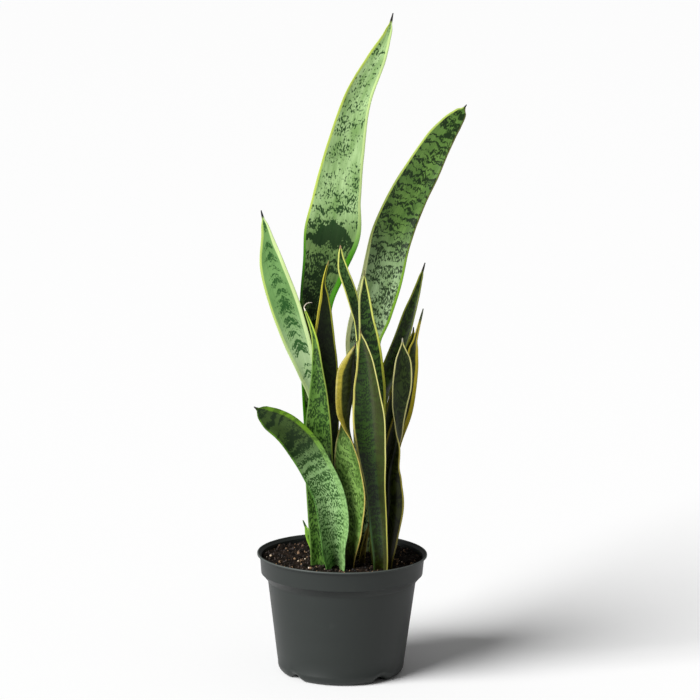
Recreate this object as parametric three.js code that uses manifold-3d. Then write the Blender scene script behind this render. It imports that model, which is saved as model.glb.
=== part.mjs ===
// A snake plant in a moulded nursery pot: pot, potting mix, rhizome and sixteen separate leaves.
// Millimetres, +Z up. The origin is on the pot's axis, in the plane that its foot stands on.
import * as THREE from "three";
import { mergeVertices } from "three/addons/utils/BufferGeometryUtils.js";
import Module from "manifold-3d";

const wasm = await Module();
wasm.setup();

// Driving dimensions
const clearance = 0.3; // between any two pieces that touch

const potHeight = 118;
const rimRadius = 82.5;
const wall = 1.6;
const lipHeight = 2;
const lipOverhang = 2.6; // how far the lip stands out past the band
const lipRound = 0.8;
const bandHeight = 20; // from the rim down to the band's lower corner
const bandTaper = 1.5; // the band is this much narrower at its lower corner
const bandStep = 6.5; // the wall below starts this much further in
const stepHeight = 7; // the slope that joins the band to the wall
const wallTaper = 10.5; // from the wall's top to the foot's corner
const footCorner = 8; // radius between the wall and the flat foot
const aroundSegments = 48;

const notchCount = 4;
const notchRise = 5; // how far the foot's edge lifts at a notch
const notchHalfAngle = 6.5; // degrees, to the middle of each flank
const flankHalfAngle = 5.5; // degrees that a flank takes on each side of that
const firstNotch = -49; // degrees from the front, positive towards +X
const notchInner = 36; // the lift fades out between these two radii
const notchOuter = 46;
const liftFade = 22; // height above the foot where the lift ends
const drainRadius = 4;
const drainSides = 16;
const drainInset = 11; // from the foot's corner to a drain hole's centre

const soilDrop = 6; // from the rim down to the potting mix
const soilCrown = 1.2; // how much higher the mix stands at the pot's middle

const rhizomeSides = 6;
const rhizomeRadius = 7;
const branchRadius = 6;
const rhizomeDepth = 26; // from the mix's surface down to the rhizome's axis
const leafBury = 24; // from the mix's surface down to a blade's lower end

const bladeThickness = 3; // at the keel, near the base
const tipThickness = 1.4; // at the keel, just below the point
const marginThickness = 0.8;
const pointWidth = 1.2; // no blade is drawn narrower than this
const pointFullness = 0.6; // a narrow blade is at most this share of its width thick

const soilTop = potHeight - soilDrop;
const bandRadius = rimRadius - lipOverhang;
const wallTopRadius = bandRadius - bandTaper - bandStep;
const footRadius = wallTopRadius - wallTaper;

// Colours
const potGrey = 0x474c4a;
const mixBrown = 0x3a2a22;
const rhizomeTan = 0xb98a58;
const lightGreen = 0x8fae7e;
const midGreen = 0x4f7a45;
const deepGreen = 0x2f4a2c;

const part = new THREE.Group();

function addNode(name, geometry, color, roughness) {
  const material = new THREE.MeshStandardMaterial({ color, roughness, metalness: 0 });
  const mesh = new THREE.Mesh(geometry, material);
  mesh.name = name;
  part.add(mesh);
  return mesh;
}

function toSolid(geometry) {
  const bare = geometry.clone();
  bare.deleteAttribute("normal");
  bare.deleteAttribute("uv");
  const merged = mergeVertices(bare, 1e-4);
  return new wasm.Manifold(
    new wasm.Mesh({
      numProp: 3,
      vertProperties: merged.attributes.position.array,
      triVerts: new Uint32Array(merged.index.array),
    }),
  );
}

function toGeometry(solid) {
  const mesh = solid.getMesh();
  const geometry = new THREE.BufferGeometry();
  geometry.setAttribute("position", new THREE.BufferAttribute(mesh.vertProperties, 3));
  geometry.setIndex(new THREE.BufferAttribute(mesh.triVerts, 1));
  geometry.computeVertexNormals();
  return geometry;
}

// ---- Pot and potting mix: turned outlines whose foot lifts at the notches ----

// 1 in the middle of a notch, 0 between notches, with a smooth flank at each side.
function notchShare(angle) {
  const pitch = 360 / notchCount;
  const fromFirst = THREE.MathUtils.euclideanModulo(angle - firstNotch + pitch / 2, pitch);
  const offCentre = Math.abs(fromFirst - pitch / 2);
  const flankEnd = notchHalfAngle + flankHalfAngle;
  const flankStart = notchHalfAngle - flankHalfAngle;
  return 1 - THREE.MathUtils.smoothstep(offCentre, flankStart, flankEnd);
}

function turnedSolid(outline) {
  const geometry = new THREE.LatheGeometry(outline, aroundSegments);
  geometry.rotateX(Math.PI / 2); // the lathe's +Y axis becomes +Z
  const at = geometry.attributes.position;
  for (let i = 0; i < at.count; i++) {
    const [x, y, z] = [at.getX(i), at.getY(i), at.getZ(i)];
    const angle = THREE.MathUtils.radToDeg(Math.atan2(x, -y));
    const outward = THREE.MathUtils.smoothstep(Math.hypot(x, y), notchInner, notchOuter);
    const fade = Math.max(0, 1 - z / liftFade);
    at.setZ(i, z + notchRise * notchShare(angle) * outward * fade);
  }
  return toSolid(geometry);
}

// The moulded shell's skin, moved in by `inset`, from the foot's middle up to `top` in the band.
function shellOutline(inset, top) {
  const bandFoot = potHeight - bandHeight;
  const upBand = (top - bandFoot) / (potHeight - lipHeight - bandFoot);
  const outline = new THREE.Path();
  outline.moveTo(0, inset);
  outline.lineTo(notchInner, inset);
  outline.lineTo(notchOuter, inset);
  outline.lineTo(footRadius - footCorner, inset);
  outline.absarc(footRadius - footCorner, footCorner, footCorner - inset, -Math.PI / 2, 0);
  outline.lineTo(wallTopRadius - inset, bandFoot - stepHeight);
  outline.lineTo(bandRadius - bandTaper - inset, bandFoot);
  outline.lineTo(bandRadius - bandTaper * (1 - upBand) - inset, top);
  const points = outline.getPoints(2);
  return points.filter((p, i) => i === 0 || p.distanceTo(points[i - 1]) > 1e-3);
}

const lipFoot = potHeight - lipHeight;
const outside = shellOutline(0, lipFoot);
outside.push(new THREE.Vector2(rimRadius, lipFoot));
outside.push(new THREE.Vector2(rimRadius, potHeight - lipRound));
outside.push(new THREE.Vector2(rimRadius - lipRound, potHeight));
outside.push(new THREE.Vector2(0, potHeight));
const hollow = shellOutline(wall, lipFoot);
hollow.push(new THREE.Vector2(rimRadius - wall, potHeight - lipRound / 2));
hollow.push(new THREE.Vector2(rimRadius - wall, potHeight + wall));
hollow.push(new THREE.Vector2(0, potHeight + wall));

let pot = turnedSolid(outside).subtract(turnedSolid(hollow));
for (let i = 0; i < notchCount; i++) {
  const angle = THREE.MathUtils.degToRad(firstNotch + (i * 360) / notchCount);
  const reach = footRadius - drainInset;
  const hole = new THREE.CylinderGeometry(drainRadius, drainRadius, 4 * notchRise, drainSides);
  hole.rotateX(Math.PI / 2);
  hole.translate(reach * Math.sin(angle), -reach * Math.cos(angle), 0);
  pot = pot.subtract(toSolid(hole));
}
addNode("pot", toGeometry(pot), potGrey, 0.5);

const mixOutline = shellOutline(wall + clearance, soilTop);
mixOutline.push(new THREE.Vector2(0, soilTop + soilCrown));
let mix = turnedSolid(mixOutline);

// ---- Rhizome: the creeping stem under the mix, forked, that every leaf grows from ----

// Each list is the stem's route in plan, [x, y], passing under the leaves that grow from it.
const leftEnd = [[-30, 22], [-26, 12], [-19, -4]];
const mainStem = [...leftEnd, [-21, -24], [-8, -33], [10, -35], [36, -40], [43, -40]];
const rightBranch = [[36, -40], [41, -28], [41, -12], [41, 8], [32, 17], [20, 25], [12, 26]];
const middleBranch = [[41, -14], [31, -13], [21, -6], [8, -4], [-6, -8], [-19, -6]];

function stemSolid(points, radius, grow) {
  const section = new THREE.Shape();
  section.absarc(0, 0, radius + grow, 0, 2 * Math.PI);
  const axis = points.map(([x, y]) => new THREE.Vector3(x, y, soilTop - rhizomeDepth));
  const ends = [axis[0].clone(), axis.at(-1).clone()];
  // Grown stems are longer too, so that the flat ends between the round tips keep their gap.
  axis[0].add(axis[0].clone().sub(axis[1]).setLength(grow));
  axis.at(-1).add(axis.at(-1).clone().sub(axis.at(-2)).setLength(grow));
  const extrudePath = new THREE.CatmullRomCurve3(axis);
  const steps = 2 * points.length;
  const curveSegments = rhizomeSides / 2;
  const stem = toSolid(new THREE.ExtrudeGeometry(section, { steps, curveSegments, extrudePath }));
  const tip = new THREE.SphereGeometry(radius + grow, rhizomeSides, 4).rotateX(Math.PI / 2);
  return ends.reduce(
    (joined, end) => joined.add(toSolid(tip.clone().translate(end.x, end.y, end.z))),
    stem,
  );
}

function rhizomeSolid(grow) {
  return stemSolid(mainStem, rhizomeRadius, grow)
    .add(stemSolid(rightBranch, branchRadius, grow))
    .add(stemSolid(middleBranch, branchRadius, grow));
}

addNode("rhizome", toGeometry(rhizomeSolid(0)), rhizomeTan, 0.8);
const rhizomeRoom = rhizomeSolid(clearance);

// ---- Leaves: blades lofted along a keel line ----

// Each station is [x, y, rise, width, channel, turn]. x, y and rise place the keel, with rise
// measured from the mix's surface. Width is from margin to margin. Channel is how far the margins
// stand in front of the keel. Turn is where the channel faces, in degrees: 0 is -Y, 90 is +X.
const leaves = {
  leaf_tall_left: {
    color: midGreen,
    stations: [
      [-21, 13, -leafBury, 14, 6, 0],
      [-23.5, 14, 60, 15, 6, 0],
      [-27, 15, 125, 22, 5, 0],
      [-28, 19, 245, 31, 4, 0],
      [-20.5, 21, 281, 42, 3, 0],
      [-13, 22, 316, 54, 2, 0],
      [-9, 23, 350, 46, 2, 0],
      [-2, 24, 393, 37, 3, 0],
      [10, 25, 445, 26, 3, 0],
      [27, 26, 482, 18, 2, 0],
      [38, 27, 508, 7, 1, 0],
      [42.5, 28, 526, 1.2, 0.1, 0],
    ],
  },
  leaf_lean_left: {
    color: lightGreen,
    stations: [
      [-17, -2, -leafBury, 15, 5, -10],
      [-18, 0, 40, 16, 5, -10],
      [-21, 2, 110, 17, 4, -10],
      [-25, 4, 157, 17, 3, -10],
      [-34, 3, 182, 19, 3, -12],
      [-45, 1, 214, 27, 3, -15],
      [-58, -2, 252, 30, 2, -15],
      [-69, -2, 286, 25, 2, -15],
      [-76, 0, 320, 9, 1, -15],
      [-81, 2, 339, 1.2, 0.1, -15],
    ],
  },
  leaf_left_front: {
    color: lightGreen,
    stations: [
      [-20.5, -28, -leafBury, 15, 5, -15],
      [-20.5, -28, 4, 16, 6, -15],
      [-20.5, -28, 46, 23, 5, -15],
      [-21, -28, 82, 27, 5, -15],
      [-22.5, -27, 115, 27, 4, -15],
      [-23, -26, 138, 25, 4, -15],
      [-23.5, -24, 162, 19, 3, -15],
      [-25.5, -20, 195, 10, 2, -15],
      [-29, -15, 221, 5, 1, -15],
      [-39, -12, 248, 1.2, 0.1, -15],
    ],
  },
  leaf_arching: {
    color: lightGreen,
    stations: [
      [-6, -32, -leafBury, 14, 18, 0],
      [-6, -32, 2, 16, 22, 0],
      [-8, -38, 22, 21, 16, 0],
      [-8, -41, 45, 28, 11, 0],
      [-13, -43, 73, 30, 8, 0],
      [-24, -45, 97, 30, 6, 0],
      [-36, -47, 118, 31, 5, 0],
      [-53, -49, 137.5, 28, 4, 0],
      [-67.5, -50, 147, 23, 2, 0],
      [-77, -51, 153.5, 14, 1, 0],
      [-85, -51, 158.5, 1.2, 0.1, 0],
    ],
  },
  leaf_centre: {
    color: deepGreen,
    stations: [
      [-6, -9, -leafBury, 13, 4, 20],
      [-6, -10, 10, 14, 4, 20],
      [-9, -10, 60, 17, 4, 20],
      [-15, -9, 112, 19, 4, 20],
      [-18, -8, 158, 26, 4, 20],
      [-20, -7, 192, 26, 4, 20],
      [-20.5, -6, 217, 21, 3, 20],
      [-20, -5, 240, 15, 2, 20],
      [-20, -4, 256, 9, 1, 20],
      [-20.5, -3, 272, 3, 0.4, 20],
      [-16, -1, 292, 1.2, 0.1, 20],
    ],
  },
  leaf_twisted: {
    color: lightGreen,
    stations: [
      [8, -34, -leafBury, 13, 4, -40],
      [9, -35, 4, 15, 5, -40],
      [11, -39, 44, 31, 6, -40],
      [11, -42, 75, 38, 6, -42],
      [8, -42, 104, 36, 6, -48],
      [6, -41, 122, 34, 6, -62],
      [5, -38, 138, 31, 7, -85],
      [5, -36, 152, 29, 7, -110],
      [6, -34, 172, 27, 6, -135],
      [6, -32, 192, 22, 5, -145],
      [9, -31, 208, 14, 3, -145],
      [11.5, -30, 219, 1.2, 0.1, -145],
    ],
  },
  leaf_thin_middle: {
    color: midGreen,
    stations: [
      [11, 2, -leafBury, 10, 3, 70],
      [12, 2, 60, 11, 3, 75],
      [13.5, 3, 150, 12, 2.5, 78],
      [12.5, 5, 205, 12, 2, 75],
      [11, 6, 232, 12, 1.5, 62],
      [9, 6, 245, 12, 1.2, 45],
      [4.5, 5, 263, 11, 1, 20],
      [-2, 4, 282, 9.5, 1, 0],
      [-4.5, 4, 295, 5, 0.5, 0],
      [-5, 4, 306, 1.2, 0.1, 0],
    ],
  },
  leaf_middle: {
    color: midGreen,
    stations: [
      [33, -17, -leafBury, 10, 4, 8],
      [33, -17, 8, 11, 4, 8],
      [30, -16, 80, 18, 5, 8],
      [28.5, -14, 150, 22, 4, 8],
      [27, -13, 174, 24, 4, 8],
      [24.5, -12, 199, 23, 3, 8],
      [23, -11, 218, 19, 3, 8],
      [20, -10, 240, 14, 2, 8],
      [18.5, -9, 256, 11, 1.5, 8],
      [18, -8, 275, 4, 0.5, 8],
      [18, -8, 284, 1.2, 0.1, 8],
    ],
  },
  leaf_front: {
    color: deepGreen,
    stations: [
      [37.5, -40.5, -leafBury, 12, 6, -22],
      [40, -45, 4, 14, 8, -22],
      [37.5, -45, 40, 17, 8, -22],
      [34.5, -44, 75, 20, 8, -22],
      [31, -42, 112, 28, 10, -22],
      [28, -39, 145, 33, 11, -22],
      [25, -37, 172, 27, 9, -22],
      [22, -36, 198, 18, 6, -20],
      [17, -35, 221, 7, 2, -20],
      [14.5, -35, 232, 1.2, 0.1, -20],
    ],
  },
  leaf_dark_right: {
    color: deepGreen,
    stations: [
      [34, 9, -leafBury, 11, 4, 0],
      [33, 10, 30, 13, 4, 0],
      [31, 11, 90, 16, 4, 0],
      [34, 12, 155, 16, 4, 0],
      [44, 13, 185, 16, 3, 0],
      [56, 15, 219, 14, 3, 0],
      [61.5, 16, 238, 12, 2, 0],
      [67.5, 18, 256, 8, 1.5, 0],
      [72.5, 19, 274, 4, 0.5, 0],
      [76.5, 20, 288, 1.2, 0.1, 0],
    ],
  },
  leaf_right_twisted: {
    color: deepGreen,
    stations: [
      [40, -36, -leafBury, 15, 4, 130],
      [40, -36, 4, 16, 4, 130],
      [43, -36, 30, 20, 5, 130],
      [46, -36, 62, 25, 5, 134],
      [45, -36, 85, 24, 5, 130],
      [45, -35, 100, 22, 5, 112],
      [48.5, -35, 118, 19, 5, 92],
      [50, -34, 139, 14, 4, 55],
      [52, -32, 158, 16, 3, 25],
      [54.5, -30, 178, 19, 3, 15],
      [55.5, -28, 198, 16, 3, 10],
      [55, -27, 214, 7, 1, 10],
      [55, -26, 222, 1.2, 0.1, 10],
    ],
  },
  leaf_yellow_edged: {
    color: midGreen,
    stations: [
      [43, -12, -leafBury, 13, 4, -15],
      [43, -12, 10, 14, 4, -15],
      [44.5, -10, 92, 15, 4, -15],
      [49, -8, 117, 15, 4, -15],
      [58, -6, 147, 17, 3, -15],
      [62, -4, 169, 16, 3, -15],
      [65, -2, 188, 13, 2.5, -15],
      [66.5, -1, 207, 9, 1.5, -15],
      [68, 0, 216, 4, 0.8, -15],
      [75, 2, 246, 1.2, 0.1, -15],
    ],
  },
  leaf_back_right: {
    color: midGreen,
    stations: [
      [42, 17, -leafBury, 12, 4, -10],
      [42, 18, 50, 14, 4, -10],
      [44, 20, 115, 15, 3, -10],
      [53, 22, 163, 14, 3, -10],
      [62, 25, 199, 10, 2, -10],
      [66, 27, 214, 5, 0.5, -10],
      [66.5, 27, 224, 1.2, 0.1, -10],
    ],
  },
  leaf_tall_right: {
    color: midGreen,
    stations: [
      [20, 25, -leafBury, 16, 6, 0],
      [21, 26, 40, 19, 6, 0],
      [22, 28, 110, 24, 6, 0],
      [21, 32, 165, 28, 5, 0],
      [18, 36, 209, 34, 5, 0],
      [26, 40, 237, 39, 4, 0],
      [34.5, 44, 266, 40, 4, 0],
      [44, 50, 309, 40, 4, 0],
      [59.5, 56, 347, 37, 3, 0],
      [73, 59, 372, 33.5, 3, 0],
      [89, 62.5, 401, 26.5, 2, 0],
      [100.5, 65, 417, 20, 1.5, 0],
      [109, 67.5, 427, 12.5, 1, 0],
      [115.5, 70, 436, 1.2, 0.1, 0],
    ],
  },
  leaf_small_scale: {
    color: lightGreen,
    stations: [
      [-22, -16, -leafBury, 9, 3, -25],
      [-22.5, -16, 6, 9, 3, -25],
      [-30, -18, 24, 8, 2, -25],
      [-38, -20, 42, 1.2, 0.1, -25],
    ],
  },
  leaf_small_middle: {
    color: midGreen,
    stations: [
      [18, -23, -leafBury, 6, 2, 20],
      [19, -23, 8, 6, 2, 20],
      [22.5, -25, 28, 4, 1, 20],
      [26, -28, 44, 1.2, 0.1, 20],
    ],
  },
};

const acrossBlade = [-1, -0.5, 0, 0.5, 1]; // from the left margin over the keel to the right one
const ringsPerStation = 2;
const formTension = 0.4; // how loosely width, channel and turn follow their stations

// One closed ring of the blade: the channelled face from margin to margin, then the back again.
function bladeRing(keel, tangent, form, thickness, grow) {
  const facing = THREE.MathUtils.degToRad(form.turn);
  const front = new THREE.Vector3(Math.sin(facing), -Math.cos(facing), 0);
  const across = new THREE.Vector3().crossVectors(tangent, front).normalize();
  const inward = new THREE.Vector3().crossVectors(across, tangent);
  const halfWidth = form.width / 2;
  const channel = form.channel;
  const side = (s, face) => {
    const along = new THREE.Vector2(halfWidth, 2 * channel * s).normalize();
    const half = grow + THREE.MathUtils.lerp(marginThickness, thickness, 1 - s * s) / 2;
    const beyond = Math.abs(s) === 1 ? s * grow : 0;
    const u = halfWidth * s + along.x * beyond - along.y * half * face;
    const v = channel * s * s + along.y * beyond + along.x * half * face;
    return keel.clone().addScaledVector(across, u).addScaledVector(inward, v);
  };
  return [
    ...acrossBlade.map((s) => side(s, 1)),
    ...acrossBlade.map((s) => side(-s, -1)),
  ];
}

// The blade's closed solid, from its buried end to its point, made larger all over by `grow`.
function bladeSolid(stations, grow) {
  const keelPoints = stations.map(([x, y, rise]) => new THREE.Vector3(x, y, soilTop + rise));
  keelPoints[0].z -= grow;
  const keel = new THREE.CatmullRomCurve3(keelPoints);
  const forms = stations.map(([, , , ...form]) => new THREE.Vector3(...form));
  const formCurve = new THREE.CatmullRomCurve3(forms, false, "catmullrom", formTension);
  const last = ringsPerStation * (stations.length - 1);
  const positions = [];
  for (let i = 0; i <= last; i++) {
    const t = i / last;
    const [width, channel, turn] = formCurve.getPoint(t).toArray();
    const form = { width: Math.max(width, pointWidth), channel: Math.max(channel, 0), turn };
    const full = THREE.MathUtils.lerp(bladeThickness, tipThickness, t);
    const thickness = Math.min(full, form.width * pointFullness);
    const ring = bladeRing(keel.getPoint(t), keel.getTangent(t), form, thickness, grow);
    ring.forEach((p) => positions.push(p.x, p.y, p.z));
  }
  const count = 2 * acrossBlade.length;
  const index = [];
  for (let i = 0; i < last; i++) {
    for (let j = 0; j < count; j++) {
      const [a, b] = [i * count + j, i * count + ((j + 1) % count)];
      index.push(a, b, b + count, a, b + count, a + count);
    }
  }
  const top = last * count;
  for (let j = 0; j < acrossBlade.length - 1; j++) {
    const k = count - 1 - j; // the point of the back that is opposite point j of the face
    index.push(j, k, k - 1, j, k - 1, j + 1);
    index.push(top + j, top + k - 1, top + k, top + j, top + j + 1, top + k - 1);
  }
  const geometry = new THREE.BufferGeometry();
  geometry.setAttribute("position", new THREE.Float32BufferAttribute(positions, 3));
  geometry.setIndex(index);
  return toSolid(geometry);
}

for (const [name, leaf] of Object.entries(leaves)) {
  const blade = bladeSolid(leaf.stations, 0).subtract(rhizomeRoom);
  addNode(name, toGeometry(blade), leaf.color, 0.4);
  mix = mix.subtract(bladeSolid(leaf.stations, clearance));
}
addNode("potting_mix", toGeometry(mix.subtract(rhizomeRoom)), mixBrown, 0.95);

export default part;
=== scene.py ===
# A snake plant with striped sword leaves, rooted in peat, in a moulded nursery pot.
import math
import random

import bmesh
import bpy
from mathutils import Euler, Matrix, Vector, noise


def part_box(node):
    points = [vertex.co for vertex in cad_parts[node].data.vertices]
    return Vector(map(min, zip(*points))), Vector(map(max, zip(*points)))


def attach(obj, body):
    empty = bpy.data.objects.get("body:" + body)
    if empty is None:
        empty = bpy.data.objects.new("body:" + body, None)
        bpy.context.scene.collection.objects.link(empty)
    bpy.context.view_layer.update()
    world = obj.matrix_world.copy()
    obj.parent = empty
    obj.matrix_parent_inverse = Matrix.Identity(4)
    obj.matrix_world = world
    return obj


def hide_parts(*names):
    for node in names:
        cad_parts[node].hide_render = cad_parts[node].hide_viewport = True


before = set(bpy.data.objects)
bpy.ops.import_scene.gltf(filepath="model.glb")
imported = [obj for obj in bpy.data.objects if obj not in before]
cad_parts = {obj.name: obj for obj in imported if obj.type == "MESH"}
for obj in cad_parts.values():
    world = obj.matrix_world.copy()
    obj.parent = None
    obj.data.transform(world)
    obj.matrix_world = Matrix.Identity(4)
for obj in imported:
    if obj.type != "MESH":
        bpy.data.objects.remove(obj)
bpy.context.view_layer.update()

mm = 0.001  # the plant's and the pot's sizes are in millimetres, and Blender works in metres


def toLinear(hexColour):
    channels = [int(hexColour[i:i + 2], 16) / 255 for i in (1, 3, 5)]
    linear = [c / 12.92 if c <= 0.04045 else ((c + 0.055) / 1.055) ** 2.4 for c in channels]
    return (*linear, 1.0)


# Adds one shader node and gives back its outputs. Inputs are values, hex colours or other outputs.
def addNode(tree, kind, inputs, **settings):
    node = tree.nodes.new("ShaderNode" + kind)
    for name, value in settings.items():
        setattr(node, name, value)
    for key, value in inputs.items():
        if isinstance(value, bpy.types.NodeSocket):
            tree.links.new(value, node.inputs[key])
        else:
            node.inputs[key].default_value = toLinear(value) if isinstance(value, str) else value
    return node.outputs


def newMaterial(name):
    material = bpy.data.materials.new(name)
    material.use_nodes = True
    material.node_tree.nodes.clear()
    return material, material.node_tree


# Makes an object of a mesh given in metres, closes its normals outwards and hands it to the frame.
def makePiece(name, points, faces, material):
    mesh = bpy.data.meshes.new(name)
    mesh.from_pydata(points, [], faces)
    work = bmesh.new()
    work.from_mesh(mesh)
    bmesh.ops.recalc_face_normals(work, faces=work.faces)
    work.to_mesh(mesh)
    work.free()
    mesh.shade_smooth()
    mesh.materials.append(material)
    piece = bpy.data.objects.new(name, mesh)
    bpy.context.collection.objects.link(piece)
    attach(piece, "root")
    return piece


def smoothStep(low, high, value):
    share = min(1, max(0, (value - low) / (high - low)))
    return share * share * (3 - 2 * share)


def lerp(a, b, share):
    return a + (b - a) * share


# Camera, floor and light: places are in metres here, and angles in degrees.
camera = {
    "place": (0.0053, -2.818, 0.8015),
    "pitchDown": 9.75,
    "roll": 0.68,
    "lens": 153.24,
}
cameraData = bpy.data.cameras.new("camera")
cameraData.lens = camera["lens"]
cameraData.sensor_width = 36
cameraObject = bpy.data.objects.new("camera", cameraData)
tilt = Matrix.Rotation(math.radians(90 - camera["pitchDown"]), 4, "X")
roll = Matrix.Rotation(math.radians(camera["roll"]), 4, "Z")
cameraObject.matrix_world = Matrix.Translation(camera["place"]) @ tilt @ roll
bpy.context.collection.objects.link(cameraObject)
bpy.context.scene.camera = cameraObject
bpy.context.scene.view_settings.view_transform = "Standard"

studio = {
    "floorHalf": 40.0,
    "floorColour": "#ffffff",
    "worldColour": "#ffffff",
    "worldStrength": 0.19,
    # the key light is a wide soft source, to the left of the camera
    "keySide": -52,
    "keyHeight": 31,
    "keySpread": 40,
    "keyStrength": 4.95,
}
floorMaterial, tree = newMaterial("pale_paper")
shader = addNode(tree, "BsdfPrincipled", {
    "Base Color": studio["floorColour"],
    "Roughness": 0.9,
    "Specular IOR Level": 0.1,
})
addNode(tree, "OutputMaterial", {"Surface": shader[0]})
half = studio["floorHalf"]
floorMesh = bpy.data.meshes.new("floor")
corners = [(-half, -half, 0), (half, -half, 0), (half, half, 0), (-half, half, 0)]
floorMesh.from_pydata(corners, [], [(0, 1, 2, 3)])
floorMesh.materials.append(floorMaterial)
floor = bpy.data.objects.new("floor", floorMesh)
bpy.context.collection.objects.link(floor)

world = bpy.data.worlds.new("studio")
world.use_nodes = True
world.node_tree.nodes["Background"].inputs["Color"].default_value = toLinear(studio["worldColour"])
world.node_tree.nodes["Background"].inputs["Strength"].default_value = studio["worldStrength"]
bpy.context.scene.world = world
key = bpy.data.lights.new("key", "SUN")
key.energy = studio["keyStrength"]
key.angle = math.radians(studio["keySpread"])
keyObject = bpy.data.objects.new("key", key)
lean = Matrix.Rotation(math.radians(90 - studio["keyHeight"]), 4, "X")
keyObject.matrix_world = Matrix.Rotation(math.radians(studio["keySide"]), 4, "Z") @ lean
bpy.context.collection.objects.link(keyObject)
print("stage: camera, floor and light")

# Pot
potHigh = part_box("pot")[1]
potHeight = potHigh.z / mm
rimRadius = potHigh.x / mm
pot = {
    "wall": 1.6,
    "lipHeight": 2,
    "lipOverhang": 2.6,
    "bandHeight": 20,
    "bandTaper": 1.5,
    "bandStep": 6.5,
    "stepHeight": 7,
    "wallTaper": 10.5,
    "footCorner": 8,
    "seamHeight": 9,  # the line round the wall where the mould's base insert ends
    "seamDepth": 0.15,
    "seamWidth": 0.3,
    "notches": 4,
    "notchRise": 5,
    "notchHalfAngle": 6.5,
    "flankHalfAngle": 5.5,
    "firstNotch": -49,
    "notchInner": 36,
    "notchOuter": 46,
    "liftFade": 22,
    "drainRadius": 4,
    "drainInset": 11,
    "segments": 288,
    "body": ("#202422", "#252927"),  # two tones that flow round the pot
    "rubbed": "#323634",
    # painted highlight: a paler lip colour for the light that the rim's top edge catches
    "lip": "#4c514e",
    # painted shade: a darker colour for the step just under the band
    "paintedShade": "#161817",
    "pebble": 0.8,
}


# Corners are (radius, height, fillet). Each fillet becomes an arc.
def roundedOutline(corners, arcSteps=6):
    outline = []
    for i, (radius, height, fillet) in enumerate(corners):
        here = Vector((radius, height))
        if fillet == 0:
            outline.append(here)
            continue
        before = (Vector(corners[i - 1][:2]) - here).normalized()
        after = (Vector(corners[i + 1][:2]) - here).normalized()
        halfCorner = before.angle(after) / 2
        reach = fillet / math.tan(halfCorner)
        centre = here + (before + after).normalized() * fillet / math.sin(halfCorner)
        start = here + before * reach - centre
        end = here + after * reach - centre
        first = math.atan2(start.y, start.x)
        swing = (math.atan2(end.y, end.x) - first + math.pi) % (2 * math.pi) - math.pi
        for step in range(arcSteps + 1):
            angle = first + swing * step / arcSteps
            outline.append(centre + fillet * Vector((math.cos(angle), math.sin(angle))))
    return outline


# 1 in the middle of a notch and 0 between notches, by angle from the front
def notchShare(angle):
    pitch = 360 / pot["notches"]
    offCentre = abs((angle - pot["firstNotch"] + pitch / 2) % pitch - pitch / 2)
    return 1 - smoothStep(
        pot["notchHalfAngle"] - pot["flankHalfAngle"],
        pot["notchHalfAngle"] + pot["flankHalfAngle"],
        offCentre,
    )


# Turns an outline that starts and ends on the axis, and lifts its foot at the notches.
def turnOutline(outline, segments):
    points = [Vector((0, 0, outline[0].y)), Vector((0, 0, outline[-1].y))]
    between = outline[1:-1]
    for k in range(segments):
        degrees = 360 * k / segments
        angle = math.radians(degrees)
        for radius, height in between:
            outward = smoothStep(pot["notchInner"], pot["notchOuter"], radius)
            fade = max(0, 1 - height / pot["liftFade"])
            lift = pot["notchRise"] * notchShare(degrees) * outward * fade
            points.append(Vector((radius * math.sin(angle), -radius * math.cos(angle), height + lift)))
    rows = len(between)
    faces = []
    for k in range(segments):
        here = 2 + k * rows
        there = 2 + ((k + 1) % segments) * rows
        faces.append((0, there, here))
        faces.append((1, here + rows - 1, there + rows - 1))
        for j in range(rows - 1):
            faces.append((here + j, there + j, there + j + 1, here + j + 1))
    return [p * mm for p in points], faces


bandRadius = rimRadius - pot["lipOverhang"]
bandFootRadius = bandRadius - pot["bandTaper"]
bandFoot = potHeight - pot["bandHeight"]
wallTop = bandFoot - pot["stepHeight"]
wallTopRadius = bandFootRadius - pot["bandStep"]
footRadius = wallTopRadius - pot["wallTaper"]
lipFoot = potHeight - pot["lipHeight"]


# How far from the axis the wall's outside is at a height, on the straight line that it follows
def wallRadius(height):
    return lerp(footRadius, wallTopRadius, (height - pot["footCorner"]) / (wallTop - pot["footCorner"]))


seam = pot["seamHeight"]
wall = pot["wall"]
potOutline = roundedOutline([
    (0, 0, 0),
    (pot["notchInner"], 0, 0),
    ((pot["notchInner"] + pot["notchOuter"]) / 2, 0, 0),
    (pot["notchOuter"], 0, 0),
    (wallRadius(0), 0, pot["footCorner"]),
    (wallRadius(seam), seam, 0),
    (wallRadius(seam) - pot["seamDepth"], seam + pot["seamWidth"], 0),
    (wallRadius(pot["liftFade"]) - pot["seamDepth"] / 2, pot["liftFade"], 0),
    (wallTopRadius, wallTop, 0.6),
    (bandFootRadius - 0.9, bandFoot - 0.1, 0),
    (bandFootRadius, bandFoot + 0.5, 0.5),
    (bandRadius, lipFoot, 0.4),
    (rimRadius, lipFoot, 0.5),
    (rimRadius, potHeight, 0.7),
    (rimRadius - wall, potHeight, 0.5),
    (rimRadius - wall, potHeight - 1, 0.4),
    (bandRadius - wall, lipFoot - 0.8, 0.6),
    (bandFootRadius - wall, bandFoot, 3),
    (wallTopRadius - wall, wallTop, 2),
    (wallRadius(pot["liftFade"]) - wall, pot["liftFade"], 0),
    (wallRadius(wall) - wall, wall, pot["footCorner"] - wall),
    (pot["notchOuter"], wall, 0),
    (pot["notchInner"], wall, 0),
    (0, wall, 0),
])
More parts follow.
